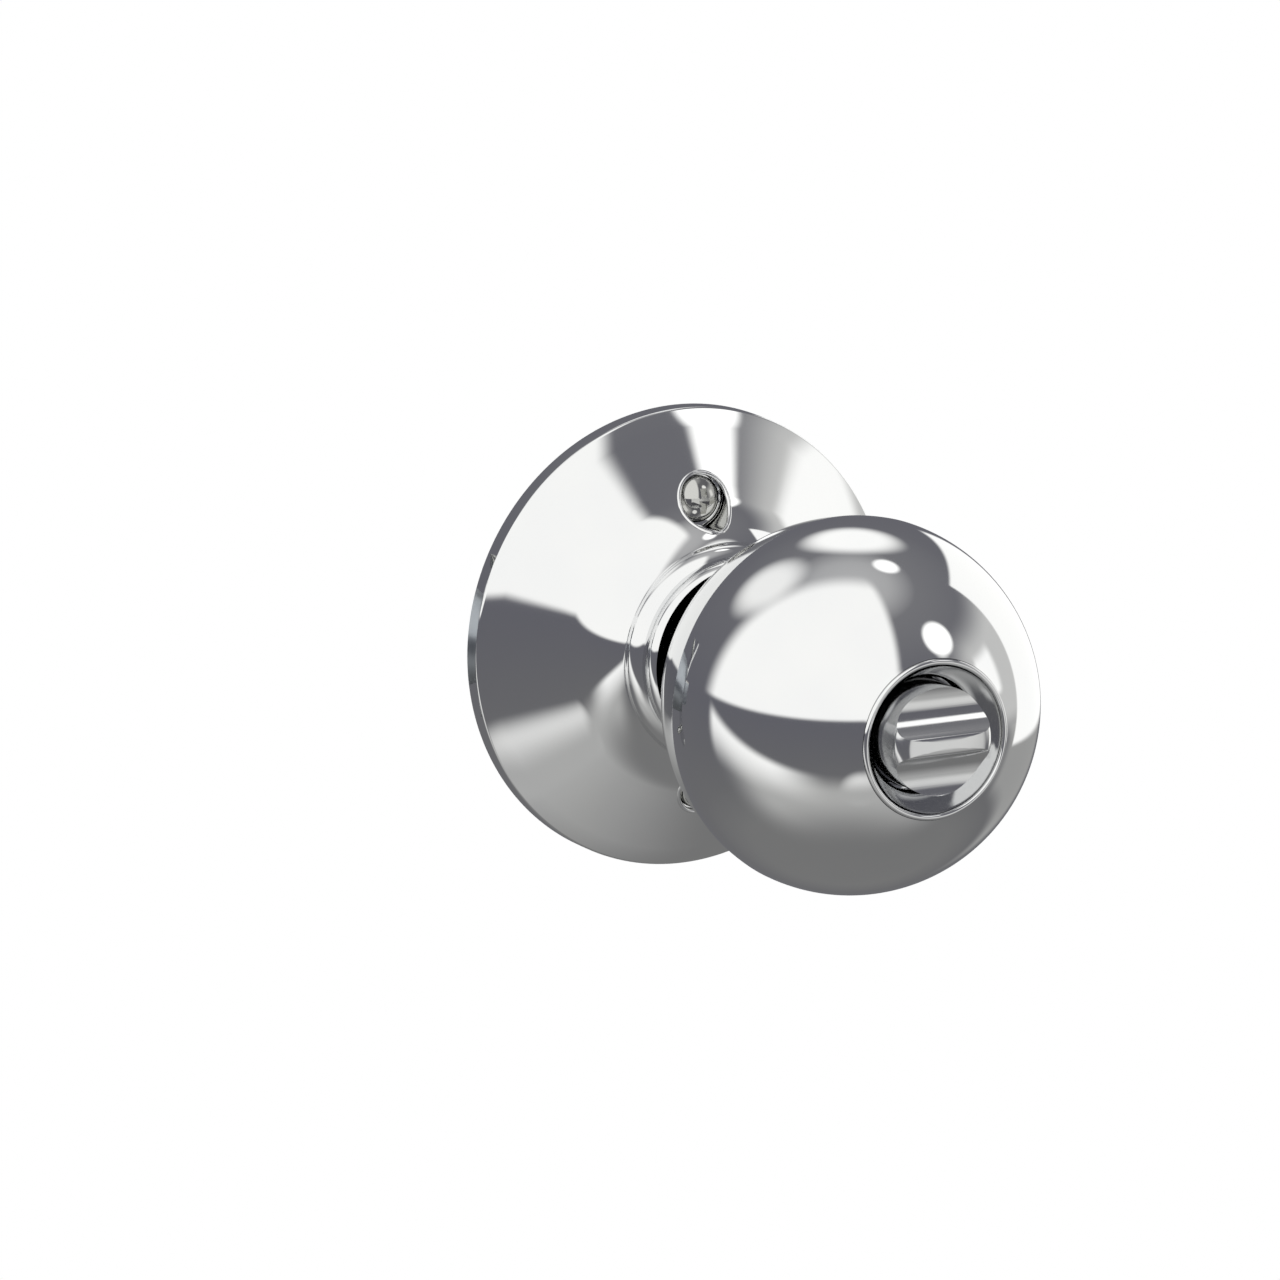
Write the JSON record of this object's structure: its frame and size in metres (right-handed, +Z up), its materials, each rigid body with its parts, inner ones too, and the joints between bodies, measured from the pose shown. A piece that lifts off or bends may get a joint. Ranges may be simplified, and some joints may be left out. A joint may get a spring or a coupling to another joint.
{
  "type": "keyed entry knob lock",
  "caption": "Ball-knob door lock with conical roses, turn button inside, keyed cylinder outside and a tubular dead-locking latch.",
  "frame": {"origin": "on the knobs' turning axis, where it crosses the door's inside face", "axes": "+Y through the door towards the outside knob, +Z up, latch bolt to -X"},
  "size_m": [0.1055, 0.2248, 0.065],
  "materials": {
    "inside_rose": "polished",
    "inside_mounting_plate": "zinc plated",
    "inside_bearing": "zinc plated",
    "inside_spring_cage": "zinc plated",
    "inside_return_spring": "spring wire",
    "mounting_screws": "zinc plated",
    "screw_posts": "zinc plated",
    "outside_rose": "polished",
    "outside_mounting_plate": "zinc plated",
    "outside_bearing": "zinc plated",
    "outside_spring_cage": "zinc plated",
    "outside_return_spring": "spring wire",
    "lock_ring": "zinc plated",
    "latch_faceplate": "polished",
    "faceplate_screws": "zinc plated",
    "latch_tube": "zinc plated",
    "latch_frame": "zinc plated",
    "spring_stop": "zinc plated",
    "inside_knob_shell": "polished",
    "inside_recess_cup": "polished",
    "inside_shank": "polished",
    "inside_snap_ring": "zinc plated",
    "spindle": "zinc plated",
    "latch_hub": "zinc plated",
    "turn_button": "polished",
    "button_stem": "zinc plated",
    "button_clip": "zinc plated",
    "driver_bar": "zinc plated",
    "outside_knob_shell": "polished",
    "outside_shank": "polished",
    "outside_snap_ring": "zinc plated",
    "spindle_socket": "zinc plated",
    "dog_carrier": "zinc plated",
    "face_ring": "polished",
    "cylinder_body": "turned",
    "tower_cap": "zinc plated",
    "driver_pins": "turned",
    "pin_springs": "spring wire",
    "key_plug": "turned",
    "key_pins": "turned",
    "key": "zinc plated",
    "plug_clip": "zinc plated",
    "tailpiece": "zinc plated",
    "lock_dog": "zinc plated",
    "latch_bolt": "turned",
    "latch_tail": "zinc plated",
    "bolt_spring": "spring wire",
    "deadlatch_plunger": "zinc plated",
    "plunger_spring": "spring wire"
  },
  "bodies": {
    "lock_body": {"inside_rose": "inside_rose", "inside_mounting_plate": "inside_mounting_plate", "inside_bearing": "inside_bearing", "inside_spring_cage": "inside_spring_cage", "inside_return_spring": "inside_return_spring", "mounting_screws": "mounting_screws", "screw_posts": "screw_posts", "outside_rose": "outside_rose", "outside_mounting_plate": "outside_mounting_plate", "outside_bearing": "outside_bearing", "outside_spring_cage": "outside_spring_cage", "outside_return_spring": "outside_return_spring", "lock_ring": "lock_ring", "latch_faceplate": "latch_faceplate", "faceplate_screws": "faceplate_screws", "latch_tube": "latch_tube", "latch_frame": "latch_frame", "spring_stop": "spring_stop"},
    "inside_knob": {"inside_knob_shell": "inside_knob_shell", "inside_recess_cup": "inside_recess_cup", "inside_shank": "inside_shank", "inside_snap_ring": "inside_snap_ring", "spindle": "spindle", "latch_hub": "latch_hub"},
    "turn_button": {"turn_button": "turn_button", "button_stem": "button_stem", "button_clip": "button_clip", "driver_bar": "driver_bar"},
    "outside_knob": {"outside_knob_shell": "outside_knob_shell", "outside_shank": "outside_shank", "outside_snap_ring": "outside_snap_ring", "spindle_socket": "spindle_socket", "dog_carrier": "dog_carrier", "face_ring": "face_ring", "cylinder_body": "cylinder_body", "tower_cap": "tower_cap", "driver_pins": "driver_pins", "pin_springs": "pin_springs"},
    "key_plug": {"key_plug": "key_plug", "key_pins": "key_pins", "key": "key", "plug_clip": "plug_clip", "tailpiece": "tailpiece"},
    "lock_dog": {"lock_dog": "lock_dog"},
    "latch_bolt": {"latch_bolt": "latch_bolt", "latch_tail": "latch_tail", "bolt_spring": "bolt_spring"},
    "deadlatch_plunger": {"deadlatch_plunger": "deadlatch_plunger", "plunger_spring": "plunger_spring"}
  },
  "joints": [
    {"name": "inside_knob_turn", "type": "hinge", "parent": "lock_body", "child": "inside_knob", "pos_m": [0, 0, 0], "axis": [0, 1, 0], "range_deg": [0, 80], "stiffness_Nm_per_rad": 0.15},
    {"name": "turn_button_turn", "type": "hinge", "parent": "inside_knob", "child": "turn_button", "pos_m": [0, 0, 0], "axis": [0, 1, 0], "range_deg": [0, 90]},
    {"name": "outside_knob_turn", "type": "hinge", "parent": "lock_body", "child": "outside_knob", "pos_m": [0, 0, 0], "axis": [0, 1, 0], "range_deg": [0, 80]},
    {"name": "key_plug_turn", "type": "hinge", "parent": "outside_knob", "child": "key_plug", "pos_m": [0, 0, 0], "axis": [0, 1, 0], "range_deg": [0, 90]},
    {"name": "lock_dog_slide", "type": "slide", "parent": "outside_knob", "child": "lock_dog", "axis": [0, 0, 1], "range_m": [0, 0.002]},
    {"name": "latch_bolt_slide", "type": "slide", "parent": "lock_body", "child": "latch_bolt", "axis": [1, 0, 0], "range_m": [0, 0.0127], "deforming": ["bolt_spring"]},
    {"name": "deadlatch_plunger_slide", "type": "slide", "parent": "latch_bolt", "child": "deadlatch_plunger", "axis": [1, 0, 0], "range_m": [0, 0.01], "stiffness_N_per_m": 60, "springref_m": -0.01, "deforming": ["plunger_spring"]}
  ],
  "couplings": [
    {"joint": "outside_knob_turn", "follows": "inside_knob_turn", "ratio": 1},
    {"joint": "latch_bolt_slide", "follows": "inside_knob_turn", "m_per_rad": 0.009095},
    {"joint": "key_plug_turn", "follows": "turn_button_turn", "ratio": 1},
    {"joint": "lock_dog_slide", "follows": "turn_button_turn", "m_per_rad": 0.001273}
  ]
}
